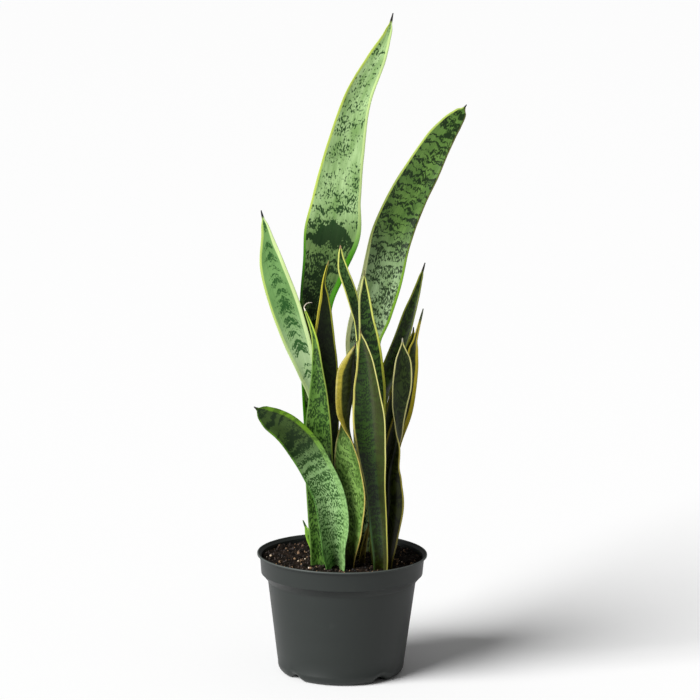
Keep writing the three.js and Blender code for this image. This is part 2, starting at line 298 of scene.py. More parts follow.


# Polypropylene, injection moulded in a lightly blasted steel mould and tinted dark grey-green.
# The blast leaves a fine pebble that spreads the highlight. Handling leaves faint pale rubs. A paler
# lip is a painted highlight, and a darker step just under the band is painted shade.
def polypropylene():
    material, tree = newMaterial("moulded_polypropylene")
    place = addNode(tree, "TexCoord", {})["Object"]
    around = addNode(tree, "Mapping", {"Vector": place, "Scale": (1, 1, 6)})[0]
    flow = addNode(tree, "TexNoise", {"Vector": around, "Scale": 9, "Detail": 3})["Fac"]
    rub = addNode(tree, "TexNoise", {"Vector": place, "Scale": 60, "Detail": 6, "Roughness": 0.7})["Fac"]
    height = addNode(tree, "SeparateXYZ", {0: place})["Z"]
    # each mask rises from its first number to its second, and goes from its third to its fourth
    masks = {
        "rubbed": (rub, 0.6, 0.78, 0, 0.35),
        # painted highlight: where the lip is lightened
        "paintedLipHighlight": (height, (potHeight - 1.3) * mm, (potHeight - 0.3) * mm, 0, 1),
        "underBand": (height, (wallTop - 3) * mm, (bandFoot + 0.2) * mm, 0, 1),
        "belowEdge": (height, (bandFoot + 0.1) * mm, (bandFoot + 0.5) * mm, 0.75, 0),
        "rough": (flow, 0, 1, 0.42, 0.52),
    }
    for name, (value, low, high, first, last) in masks.items():
        masks[name] = addNode(tree, "MapRange", {
            "Value": value, "From Min": low, "From Max": high, "To Min": first, "To Max": last,
        })[0]
    # painted shade: darkens the step under the band, most just below the band's edge
    paintedShade = addNode(tree, "Math", {
        0: masks["underBand"], 1: masks["belowEdge"],
    }, operation="MULTIPLY")[0]
    colour = pot["body"][0]
    for share, tone in (
        (flow, pot["body"][1]),
        (masks["rubbed"], pot["rubbed"]),
        (masks["paintedLipHighlight"], pot["lip"]),
        (paintedShade, pot["paintedShade"]),
    ):
        colour = addNode(tree, "Mix", {"Factor": share, "A": colour, "B": tone}, data_type="RGBA")["Result"]
    # blast pebble is about 0.15 mm across, and is drawn coarser so that it shows
    pebble = addNode(tree, "TexNoise", {
        "Vector": place, "Scale": 1 / (pot["pebble"] * mm), "Detail": 2,
    })["Fac"]
    bump = addNode(tree, "Bump", {"Height": pebble, "Strength": 0.12, "Distance": 0.0002})[0]
    shader = addNode(tree, "BsdfPrincipled", {
        "Base Color": colour,
        "Roughness": masks["rough"],
        "IOR": 1.49,
        "Specular IOR Level": 0.3,
        "Normal": bump,
    })
    addNode(tree, "OutputMaterial", {"Surface": shader[0]})
    return material


points, faces = turnOutline(potOutline, pot["segments"])
potPiece = makePiece("nursery_pot", points, faces, polypropylene())
for k in range(pot["notches"]):
    angle = math.radians(pot["firstNotch"] + k * 360 / pot["notches"])
    reach = (footRadius - pot["drainInset"]) * mm
    radius = pot["drainRadius"] * mm
    depth = 4 * pot["notchRise"] * mm
    centre = (reach * math.sin(angle), -reach * math.cos(angle), 0)
    cutter = bpy.data.meshes.new("drain")
    work = bmesh.new()
    bmesh.ops.create_cone(work, cap_ends=True, segments=48, radius1=radius, radius2=radius, depth=depth)
    bmesh.ops.translate(work, verts=work.verts, vec=centre)
    work.to_mesh(cutter)
    work.free()
    cutterObject = bpy.data.objects.new("drain", cutter)
    bpy.context.collection.objects.link(cutterObject)
    cut = potPiece.modifiers.new("drain", "BOOLEAN")
    cut.operation = "DIFFERENCE"
    cut.solver = "EXACT"
    cut.object = cutterObject
    bpy.context.view_layer.update()
    evaluated = potPiece.evaluated_get(bpy.context.evaluated_depsgraph_get())
    cutMesh = bpy.data.meshes.new_from_object(evaluated)
    potPiece.modifiers.clear()
    potPiece.data = cutMesh
    bpy.data.objects.remove(cutterObject)
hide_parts("pot")
print("pot turned and drilled")

# Potting mix
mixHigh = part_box("potting_mix")[1]
mixCrown = 1.2
soilTop = mixHigh.z / mm - mixCrown
mix = {
    "gapToWall": 0.4,
    "depth": 14,
    "lumps": (3.2, 8),  # height and spacing of the clods
    "crumbs": (1.5, 2.4),  # height and spacing of the crumbs on them
    "grit": (0.35, 1),
    "settled": 0.3,
    "tones": ("#090604", "#33261b"),
    "tonePatches": (6, 1.2),  # length of a clod's and of a grit grain's patch of tone
    "rings": 84,
    "segments": 300,
}


def mixHeight(x, y):
    radius = math.hypot(x, y)
    crown = mixCrown * (1 - radius / bandRadius)
    clods = noise.noise(Vector((x, y, 0)) / mix["lumps"][1]) * mix["lumps"][0]
    crumbs = noise.noise(Vector((x, y, 40)) / mix["crumbs"][1]) * mix["crumbs"][0]
    grit = noise.noise(Vector((x, y, 90)) / mix["grit"][1]) * mix["grit"][0]
    return soilTop + crown + clods + crumbs + grit - mix["settled"]


# Peat-based potting mix, screened and damp: nearly black fibres with brown crumbs, quite matt.
def pottingPeat():
    material, tree = newMaterial("damp_potting_peat")
    place = addNode(tree, "TexCoord", {})["Object"]
    clodScale, gritScale = (1 / (patch * mm) for patch in mix["tonePatches"])
    clod = addNode(tree, "TexNoise", {
        "Vector": place, "Scale": clodScale, "Detail": 5, "Roughness": 0.7,
    })["Fac"]
    grit = addNode(tree, "TexNoise", {
        "Vector": place, "Scale": gritScale, "Detail": 4, "Roughness": 0.75,
    })["Fac"]
    both = addNode(tree, "Math", {0: clod, 1: grit}, operation="MULTIPLY")[0]
    share = addNode(tree, "MapRange", {"Value": both, "From Min": 0.2, "From Max": 0.42})[0]
    dark = addNode(tree, "Mix", {
        "Factor": share, "A": mix["tones"][0], "B": mix["tones"][1],
    }, data_type="RGBA")["Result"]
    bump = addNode(tree, "Bump", {"Height": grit, "Strength": 0.9, "Distance": 0.0012})[0]
    shader = addNode(tree, "BsdfPrincipled", {
        "Base Color": dark, "Roughness": 0.92, "IOR": 1.4, "Specular IOR Level": 0.2, "Normal": bump,
    })
    addNode(tree, "OutputMaterial", {"Surface": shader[0]})
    return material


bandShare = (soilTop - bandFoot) / (lipFoot - bandFoot)
mixRadius = lerp(bandFootRadius, bandRadius, bandShare) - wall - mix["gapToWall"]
rings, segments = mix["rings"], mix["segments"]
points = [Vector((0, 0, mixHeight(0, 0)))]
for ring in range(1, rings + 1):
    radius = mixRadius * ring / rings
    for k in range(segments):
        angle = 2 * math.pi * k / segments
        x, y = radius * math.cos(angle), radius * math.sin(angle)
        points.append(Vector((x, y, mixHeight(x, y))))
lowRadius = mixRadius - mix["depth"] * pot["bandTaper"] / pot["bandHeight"]
lowHeight = soilTop - mix["depth"]
for k in range(segments):
    angle = 2 * math.pi * k / segments
    points.append(Vector((lowRadius * math.cos(angle), lowRadius * math.sin(angle), lowHeight)))
points.append(Vector((0, 0, lowHeight)))
faces = []
lowRing = 1 + rings * segments
for k in range(segments):
    after = (k + 1) % segments
    faces.append((0, 1 + k, 1 + after))
    for ring in range(rings):
        inner, outer = 1 + ring * segments, 1 + (ring + 1) * segments
        faces.append((inner + k, outer + k, outer + after, inner + after))
    faces.append((lowRing + after, lowRing + k, len(points) - 1))
peat = pottingPeat()
mixPiece = makePiece("potting_mix_bed", [p * mm for p in points], faces, peat)
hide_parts("potting_mix")
print("potting mix laid")

# Leaves
# Stations are [x, y, rise, width, channel, turn]: the keel's place with rise above the mix, the
# width between margins, how far the margins stand in front of the keel, and where the channel
# faces, in degrees from the front. A look's lengths along the leaf are in mm above the mix.
bury = 24
leafForm = {
    "thickness": 3,
    "tipThickness": 1.4,
    "marginThickness": 0.8,
    "pointWidth": 0.7,
    "pointFullness": 0.6,
    "ringSpacing": 2.6,
    "acrossSteps": 16,
    "formTension": 0.4,
    "ripple": (0.9, 34),  # how far a margin waves out of its line, and the length of a wave
    "waver": (0.5, 22),  # the same for the width
    "calmBelow": 20,  # blades narrower than this wave less
    "marginRounding": 0.35,
    "shoulder": 0.9,  # how fast the blade widens below its spike
}
skinForm = {
    "marginMost": 0.45,  # the most of a half width that its margin takes
    "marginWander": 0.4,  # how far a margin's inner line strays
    "streak": (0.84, 1.14),  # how much the fibres darken and lighten the colour
    "blotchFoot": (-1.5, 1),  # where a blotch fades in and out, from its own edges
    "blotchTop": (-3, 4),
}
darkAbove = 0.52  # the pattern is dark where its noise is above this
leafLook = {
    # What a leaf's own dictionary doesn't give. Pairs are near the mix and near the point.
    "slot": "leaf_mid",
    "ground": ("#5a7740", "#456730"),  # the green near the mix, in two tones
    "groundHigh": None,  # the same near the point, where it differs
    "stripe": ("#163e05", "#163e05"),
    "stripeStrength": 0.94,
    "bands": (9, 30),  # spacing along the leaf, and how far a band runs across before it breaks
    "zigzag": (6, 7),  # how far a band jumps along the leaf, and the distance across between jumps
    "dash": (0.9, 3.2),  # width and length of the small dashes that the bands are made of
    "slant": 0,  # rise of a band along the leaf for each mm across
    "vee": 0,  # the same, falling away on both sides of the keel
    "dashShare": (0.4, 0.4),  # 0 is solid bands, 1 is scattered dashes
    "lines": (0.6, 0.6),  # 0 is broad bands, 1 is thin wandering lines
    "cover": (0, 0),  # more is darker
    "keelCover": 0,  # how much darker along the middle than near the margins
    "soft": 0.03,  # how soft the edges of the dark pattern are
    "blotches": [],  # [low edge, high edge, peak over the keel, strength] of bands of their own
    "left": (2.5, 2.5, "#a8b860", "#b4c06a"),  # widths of the pale margin, then its colours
    "right": (2.5, 2.5, "#a8b860", "#b4c06a"),
    "marginBlend": 0.35,  # how softly a margin meets the green, in mm
    "mottle": 0,  # how much of the dark pattern shows over the margins
    "change": (150, 300),  # where near the mix turns into near the point
    "paintedSheen": ("#6a6f60", 0),  # colour and strength of a painted grey sheen on the half right of the keel
    "tip": (6, 1.6, "#2a2018"),  # length, width at its root and colour of the dry spike
    "foot": (26, "#3f3418", 0.6),  # height, colour and strength of the tint above the mix
    "sheen": (0.36, 0.46),  # least and most roughness
    "gloss": 0.2,  # specular level: the wax is thin, and dusty on most of the leaves
}
leaves = {}
leaves["leaf_tall_left"] = {
    "stations": [
        [-21, 13, -bury, 14, 6, 0],
        [-23.5, 14, 60, 15, 6, 0],
        [-27, 15, 125, 22, 5, 0],
        [-28, 19, 245, 31, 4, 0],
        [-20.5, 21, 281, 42, 3, 0],
        [-13, 22, 316, 54, 2, 0],
        [-9, 23, 350, 46, 2, 0],
        [-2, 24, 393, 37, 3, 0],
        [10, 25, 445, 26, 3, 0],
        [27, 26, 482, 18, 2, 0],
        [38, 27, 508, 7, 1, 0],
        [42.5, 28, 526, 1.2, 0.1, 0],
    ],
    "slot": "leaf_pale",
    "ground": ("#68834a", "#3f5a2a"),
    "groundHigh": ("#9bb880", "#6f9053"),
    "stripe": ("#041f02", "#063008"),
    "bands": (9, 22),
    "zigzag": (4.5, 7),
    "dash": (1.4, 3.0),
    "dashShare": (0.46, 0.42),
    "lines": (0, 0.2),
    "cover": (0.03, -0.036),
    "keelCover": 0.004,
    "blotches": [[307, 315, 11, 0.15], [293, 304, 0, -0.05], [336, 342, 8, 0.05]],
    "left": (2.0, 1.8, "#3f7a0a", "#a3b650"),
    "right": (4.8, 2.2, "#3d8007", "#a9c07c"),
    "change": (296, 350),
    "tip": (11, 2.4, "#1c1a16"),
}
leaves["leaf_lean_left"] = {
    "stations": [
        [-17, -2, -bury, 15, 5, -10],
        [-18, 0, 40, 16, 5, -10],
        [-21, 2, 110, 17, 4, -10],
        [-25, 4, 157, 17, 3, -10],
        [-34, 3, 182, 19, 3, -12],
        [-45, 1, 214, 27, 3, -15],
        [-58, -2, 252, 30, 2, -15],
        [-69, -2, 286, 25, 2, -15],
        [-76, 0, 320, 9, 1, -15],
        [-81, 2, 339, 1.2, 0.1, -15],
    ],
    "slot": "leaf_pale",
    "ground": ("#94aa80", "#84a06c"),
    "groundHigh": ("#668c50", "#547a40"),
    "stripe": ("#13420f", "#12400f"),
    "bands": (5.5, 42),
    "zigzag": (2, 5),
    "dash": (0.9, 2.2),
    "vee": 0.8,
    "dashShare": (0.25, 0.25),
    "lines": (0.15, 0.3),
    "cover": (-0.008, -0.034),
    "keelCover": 0.042,
    "left": (2.4, 1.9, "#a3b97d", "#9db35c"),
    "right": (3.9, 3.6, "#a7bb86", "#aec283"),
    "change": (190, 262),
    "tip": (9, 2.2, "#15171a"),
}
leaves["leaf_left_front"] = {
    "stations": [
        [-20.5, -28, -bury, 15, 5, -15],
        [-20.5, -28, 4, 16, 6, -15],
        [-20.5, -28, 46, 23, 5, -15],
        [-21, -28, 82, 27, 5, -15],
        [-22.5, -27, 115, 27, 4, -15],
        [-23, -26, 138, 25, 4, -15],
        [-23.5, -24, 162, 19, 3, -15],
        [-25.5, -20, 195, 10, 2, -15],
        [-29, -15, 221, 5, 1, -15],
        [-39, -12, 248, 1.2, 0.1, -15],
    ],
    "ground": ("#587d33", "#3c5f20"),
    "groundHigh": ("#486c2b", "#335119"),
    "stripe": ("#0f2b02", "#0e2a02"),
    "bands": (6, 20),
    "zigzag": (5, 5),
    "dash": (1.4, 3.0),
    "dashShare": (0.42, 0.42),
    "lines": (0.3, 0.3),
    "cover": (0.01, 0.01),
    "stripeStrength": 0.92,
    "left": (0.7, 0.8, "#5d7f38", "#93ab4a"),
    "right": (0.9, 1.6, "#6b7c30", "#9db53c"),
    "change": (185, 235),
    "tip": (4, 1.2, "#cfc7b4"),
    "foot": (14, "#2f4a1a", 0.3),
}
leaves["leaf_arching"] = {
    "stations": [
        [-6, -32, -bury, 14, 18, 0],
        [-6, -32, 2, 16, 22, 0],
        [-8, -38, 22, 21, 16, 0],
        [-8, -41, 45, 28, 11, 0],
        [-13, -43, 73, 30, 8, 0],
        [-24, -45, 97, 30, 6, 0],
        [-36, -47, 118, 31, 5, 0],
        [-53, -49, 137.5, 28, 4, 0],
        [-67.5, -50, 147, 23, 2, 0],
        [-77, -51, 153.5, 14, 1, 0],
        [-85, -51, 158.5, 1.2, 0.1, 0],
    ],
    "slot": "leaf_pale",
    "ground": ("#92b57a", "#70965a"),
    "groundHigh": ("#34491f", "#24360f"),
    "stripe": ("#1a400c", "#0c2006"),
    "bands": (7, 44),
    "zigzag": (2.2, 8),
    "dash": (1.1, 2.4),
    "dashShare": (0.62, 0.3),
    "lines": (0.2, 0),
    "cover": (0.016, 0.008),
    "left": (0.8, 1.0, "#4d7a32", "#4b7312"),
    "right": (4.6, 4.0, "#7ca262", "#547a12"),
    "change": (84, 142),
    "tip": (4, 1.9, "#1a1a10"),
    "shoulder": 2.6,
    "foot": (8, "#6c8f48", 0.3),
    "marginBlend": 0.9,
    "mottle": 0.55,
}
leaves["leaf_centre"] = {
    "stations": [
        [-6, -9, -bury, 13, 4, 20],
        [-6, -10, 10, 14, 4, 20],
        [-9, -10, 60, 17, 4, 20],
        [-15, -9, 112, 19, 4, 20],
        [-18, -8, 158, 26, 4, 20],
        [-20, -7, 192, 26, 4, 20],
        [-20.5, -6, 217, 21, 3, 20],
        [-20, -5, 240, 15, 2, 20],
        [-20, -4, 256, 9, 1, 20],
        [-20.5, -3, 272, 3, 0.4, 20],
        [-16, -1, 292, 1.2, 0.1, 20],
    ],
    "slot": "leaf_dark",
    "ground": ("#1b3108", "#122304"),
    "groundHigh": ("#1a2708", "#101b03"),
    "stripe": ("#050d00", "#060f00"),
    "bands": (7, 24),
    "dashShare": (0.35, 0.35),
    "left": (1.0, 2.1, "#7d8228", "#b3ab36"),
    "right": (0.8, 1.1, "#5d6318", "#838829"),
    "change": (140, 215),
    "tip": (6, 1.4, "#8a8048"),
}
leaves["leaf_twisted"] = {
    "stations": [
        [8, -34, -bury, 13, 4, -40],
        [9, -35, 4, 15, 5, -40],
        [11, -39, 44, 31, 6, -40],
        [11, -42, 75, 38, 6, -42],
        [8, -42, 104, 36, 6, -48],
        [6, -41, 122, 34, 6, -62],
        [5, -38, 138, 31, 7, -85],
        [5, -36, 152, 29, 7, -110],
        [6, -34, 172, 27, 6, -135],
        [6, -32, 192, 22, 5, -145],
        [9, -31, 208, 14, 3, -145],
        [11.5, -30, 219, 1.2, 0.1, -145],
    ],
    "slot": "leaf_pale",
    "ground": ("#74954a", "#50722c"),
    "groundHigh": ("#343d12", "#232b05"),
    "stripe": ("#243f08", "#141c00"),
    "bands": (5, 26),
    "zigzag": (6, 12),
    "dash": (1.3, 3.0),
    "slant": 0.7,
    "dashShare": (0.35, 0.4),
    "lines": (0.5, 0.4),
    "cover": (0.0, 0.01),
    "stripeStrength": 0.9,
    "left": (0.9, 1.0, "#c2bd78", "#bdb356"),
    "right": (1.2, 4.2, "#aa9c50", "#988d30"),
    "marginBlend": 0.9,
    "change": (118, 146),
    "foot": (46, "#33200c", 0.85),
    "gloss": 0.3,
    "mottle": 0.3,
}
leaves["leaf_thin_middle"] = {
    "stations": [
        [11, 2, -bury, 10, 3, 70],
        [12, 2, 60, 11, 3, 75],
        [13.5, 3, 150, 12, 2.5, 78],
        [12.5, 5, 205, 12, 2, 75],
        [11, 6, 232, 12, 1.5, 62],
        [9, 6, 245, 12, 1.2, 45],
        [4.5, 5, 263, 11, 1, 20],
        [-2, 4, 282, 9.5, 1, 0],
        [-4.5, 4, 295, 5, 0.5, 0],
        [-5, 4, 306, 1.2, 0.1, 0],
    ],
    "ground": ("#42602e", "#2c4a1b"),
    "stripe": ("#0d2704", "#0d2704"),
    "bands": (8, 16),
    "left": (1.8, 0.9, "#bcc260", "#bfc466"),
    "right": (1.4, 0.9, "#b2b958", "#bcc262"),
    "change": (200, 250),
    "tip": (4, 2.0, "#8d7258"),
}
leaves["leaf_middle"] = {
    "stations": [
        [33, -17, -bury, 10, 4, 8],
        [33, -17, 8, 11, 4, 8],
        [30, -16, 80, 18, 5, 8],
        [28.5, -14, 150, 22, 4, 8],
        [27, -13, 174, 24, 4, 8],
        [24.5, -12, 199, 23, 3, 8],
        [23, -11, 218, 19, 3, 8],
        [20, -10, 240, 14, 2, 8],
        [18.5, -9, 256, 11, 1.5, 8],
        [18, -8, 275, 4, 0.5, 8],
        [18, -8, 284, 1.2, 0.1, 8],
    ],
    "ground": ("#3a5721", "#26430f"),
    "stripe": ("#041a02", "#041a02"),
    "bands": (7, 30),
    "zigzag": (4, 9),
    "dashShare": (0.25, 0.25),
    "lines": (0.5, 0.5),
    "cover": (0.0, 0.01),
    "left": (1.1, 1.1, "#a6b258", "#b9c072"),
    "right": (1.7, 1.2, "#a3a836", "#b4bb5c"),
    "change": (190, 250),
    "tip": (7, 1.5, "#6a6a40"),
    "gloss": 0.3,
    "stripeStrength": 1,
}
leaves["leaf_front"] = {
    "stations": [
        [37.5, -40.5, -bury, 12, 6, -22],
        [40, -45, 4, 14, 8, -22],
        [37.5, -45, 40, 17, 8, -22],
        [34.5, -44, 75, 20, 8, -22],
        [31, -42, 112, 28, 10, -22],
        [28, -39, 145, 33, 11, -22],
        [25, -37, 172, 27, 9, -22],
        [22, -36, 198, 18, 6, -20],
        [17, -35, 221, 7, 2, -20],
        [14.5, -35, 232, 1.2, 0.1, -20],
    ],
    "slot": "leaf_dark",
    "ground": ("#2c4a0e", "#1c3604"),
    "stripe": ("#061700", "#061700"),
    "bands": (5, 20),
    "zigzag": (3, 9),
    "dash": (1.0, 2.2),
    "cover": (0.02, 0.0),
    "left": (0.6, 0.9, "#27451a", "#b5ae58"),
    "right": (0.9, 0.9, "#95923f", "#b5b26a"),
    "change": (60, 130),
    "tip": (6, 1.5, "#6a5c38"),
    "foot": (34, "#3a2a10", 0.25),
    "sheen": (0.3, 0.38),
    "gloss": 0.36,
    # painted sheen: the grey-olive right half stands in for the key light's reflection on the wax
    "paintedSheen": ("#3f4128", 0.55),
}
leaves["leaf_dark_right"] = {
    "stations": [
        [34, 9, -bury, 11, 4, 0],
        [33, 10, 30, 13, 4, 0],
        [31, 11, 90, 16, 4, 0],
        [34, 12, 155, 16, 4, 0],
        [44, 13, 185, 16, 3, 0],
        [56, 15, 219, 14, 3, 0],
        [61.5, 16, 238, 12, 2, 0],
        [67.5, 18, 256, 8, 1.5, 0],
        [72.5, 19, 274, 4, 0.5, 0],
        [76.5, 20, 288, 1.2, 0.1, 0],
    ],
    "slot": "leaf_dark",
    "ground": ("#25390a", "#192904"),
    "stripe": ("#0a1400", "#0a1400"),
    "bands": (10, 20),
    "dashShare": (0.3, 0.3),
    "left": (1.2, 1.0, "#4a5510", "#6a7320"),
    "right": (0.7, 0.8, "#4a5514", "#6a7330"),
    "tip": (11, 2.2, "#1f1f18"),
    "sheen": (0.3, 0.4),
}
leaves["leaf_right_twisted"] = {
    "stations": [
        [40, -36, -bury, 15, 4, 130],
        [40, -36, 4, 16, 4, 130],
        [43, -36, 30, 20, 5, 130],
        [46, -36, 62, 25, 5, 134],
        [45, -36, 85, 24, 5, 130],
        [45, -35, 100, 22, 5, 112],
        [48.5, -35, 118, 19, 5, 92],
        [50, -34, 139, 14, 4, 55],
        [52, -32, 158, 16, 3, 25],
        [54.5, -30, 178, 19, 3, 15],
        [55.5, -28, 198, 16, 3, 10],
        [55, -27, 214, 7, 1, 10],
        [55, -26, 222, 1.2, 0.1, 10],
    ],
    "slot": "leaf_dark",
    "ground": ("#262d08", "#181e02"),
    "groundHigh": ("#2b3a14", "#1e2c08"),
    "stripe": ("#070b00", "#0a1500"),
    "bands": (8, 18),
    "dashShare": (0.3, 0.3),
    "left": (0.9, 0.7, "#8a8234", "#b0ad72"),
    "right": (0.9, 0.7, "#8a7c34", "#aca96a"),
    "change": (110, 150),
    "tip": (5, 1.2, "#a09c88"),
    "foot": (60, "#1f150a", 0.55),
    "sheen": (0.28, 0.36),
    "gloss": 0.22,
}
leaves["leaf_yellow_edged"] = {
    "stations": [
        [43, -12, -bury, 13, 4, -15],
        [43, -12, 10, 14, 4, -15],
        [44.5, -10, 92, 15, 4, -15],
        [49, -8, 117, 15, 4, -15],
        [58, -6, 147, 17, 3, -15],
        [62, -4, 169, 16, 3, -15],
        [65, -2, 188, 13, 2.5, -15],
        [66.5, -1, 207, 9, 1.5, -15],
        [68, 0, 216, 4, 0.8, -15],
        [75, 2, 246, 1.2, 0.1, -15],
    ],
    "ground": ("#212a06", "#161e00"),
    "stripe": ("#0a1000", "#0a1000"),
    "bands": (8, 18),
    "left": (1.1, 1.1, "#7d7420", "#8d8424"),
    "right": (3.6, 2.4, "#978b19", "#8a7f20"),
    "marginBlend": 0.6,
    "change": (150, 200),
    "tip": (16, 2.6, "#26300c"),
}
leaves["leaf_back_right"] = {
    "stations": [
        [42, 17, -bury, 12, 4, -10],
        [42, 18, 50, 14, 4, -10],
        [44, 20, 115, 15, 3, -10],
        [53, 22, 163, 14, 3, -10],
        [62, 25, 199, 10, 2, -10],
        [66, 27, 214, 5, 0.5, -10],
        [66.5, 27, 224, 1.2, 0.1, -10],
    ],
    "ground": ("#1d2c08", "#132002"),
    "stripe": ("#081000", "#081000"),
    "left": (1.2, 1.2, "#6a661c", "#777226"),
    "right": (1.4, 1.4, "#74701c", "#8f8428"),
    "tip": (5, 1.6, "#2a2610"),
}
leaves["leaf_tall_right"] = {
    "stations": [
        [20, 25, -bury, 16, 6, 0],
        [21, 26, 40, 19, 6, 0],
        [22, 28, 110, 24, 6, 0],
        [21, 32, 165, 28, 5, 0],
        [18, 36, 209, 34, 5, 0],
        [26, 40, 237, 39, 4, 0],
        [34.5, 44, 266, 40, 4, 0],
        [44, 50, 309, 40, 4, 0],
        [59.5, 56, 347, 37, 3, 0],
        [73, 59, 372, 33.5, 3, 0],
        [89, 62.5, 401, 26.5, 2, 0],
        [100.5, 65, 417, 20, 1.5, 0],
        [109, 67.5, 427, 12.5, 1, 0],
        [115.5, 70, 436, 1.2, 0.1, 0],
    ],
    "ground": ("#aac694", "#7a9961"),
    "groundHigh": ("#5f813b", "#456629"),
    "stripe": ("#0f2a07", "#051e01"),
    "bands": (7.5, 30),
    "zigzag": (3, 5),
    "dash": (1.3, 3.2),
    "dashShare": (0.46, 0.3),
    "lines": (0.4, 0.75),
    "cover": (0.006, -0.006),
    # the left margin near the mix is painted paler than its own pale colour, as painted light shining through
    # it
    "left": (3.8, 1.5, "#f0fab4", "#b0c65e"),
    "right": (2.2, 0.8, "#7cab2e", "#5c5f2a"),
    "change": (262, 330),
    "tip": (4.5, 1.5, "#17150f"),
    "shoulder": 2.4,
    "sheen": (0.34, 0.44),
    "gloss": 0.3,
}
leaves["leaf_small_scale"] = {
    "stations": [
        [-22, -16, -bury, 9, 3, -25],
        [-22.5, -16, 6, 9, 3, -25],
        [-30, -18, 24, 8, 2, -25],
        [-38, -20, 42, 1.2, 0.1, -25],
    ],
    "slot": "leaf_pale",
    "ground": ("#6c9a3e", "#4f8028"),
    "stripe": ("#2a4f10", "#2a4f10"),
    "left": (1, 1, "#7fae36", "#5f8a28"),
    "right": (1, 1, "#88b242", "#6c9434"),
    "tip": (8, 2.2, "#2c4a1c"),
    "foot": (10, "#5c6428", 0.4),
}
leaves["leaf_small_middle"] = {
    "stations": [
        [18, -23, -bury, 6, 2, 20],
        [19, -23, 8, 6, 2, 20],
        [22.5, -25, 28, 4, 1, 20],
        [26, -28, 44, 1.2, 0.1, 20],
    ],
    "ground": ("#6c6224", "#544a18"),
    "stripe": ("#2e2408", "#2e2408"),
    "left": (0.6, 0.6, "#94883a", "#94883a"),
    "right": (0.6, 0.6, "#94883a", "#94883a"),
    "tip": (8, 1.4, "#5f4c28"),
    "foot": (14, "#2c1c0c", 0.7),
}


# A smooth path through the points: centripetal, or evenly spaced with a tension if one is given.
def smoothPath(points, stepsEach, tension=None):
    padded = [points[0] * 2 - points[1], *points, points[-1] * 2 - points[-2]]
    path = []
    for i, steps in enumerate(stepsEach):
        before, start, end, after = padded[i:i + 4]
        if tension is None:
            pairs = ((before, start), (start, end), (end, after))
            gapIn, gap, gapOut = (max((b - a).length, 1e-6) ** 0.5 for a, b in pairs)
            leave = (start - before) / gapIn - (end - before) / (gapIn + gap) + (end - start) / gap
            arrive = (end - start) / gap - (after - start) / (gap + gapOut) + (after - end) / gapOut
            leave, arrive = leave * gap, arrive * gap
        else:
            leave, arrive = (end - before) * tension, (after - start) * tension
        for step in range(steps):
            t = step / steps
            path.append(
                start + leave * t
                + (3 * (end - start) - 2 * leave - arrive) * t * t
                + (2 * (start - end) + leave + arrive) * t * t * t
            )
    return [*path, points[-1]]


# The keel's points in mm, the form at each, and how far along the leaf each is from the mix
def leafPath(leaf):
    places = [Vector((x, y, soilTop + rise)) for x, y, rise, *rest in leaf["stations"]]
    forms = [Vector(station[3:]) for station in leaf["stations"]]
    stepsEach = [
        max(4, round((b - a).length / leafForm["ringSpacing"])) for a, b in zip(places, places[1:])
    ]
    keel = smoothPath(places, stepsEach)
    form = smoothPath(forms, stepsEach, leafForm["formTension"])
    along = [-bury]
    for a, b in zip(keel, keel[1:]):
        along.append(along[-1] + (b - a).length)
    return keel, form, along


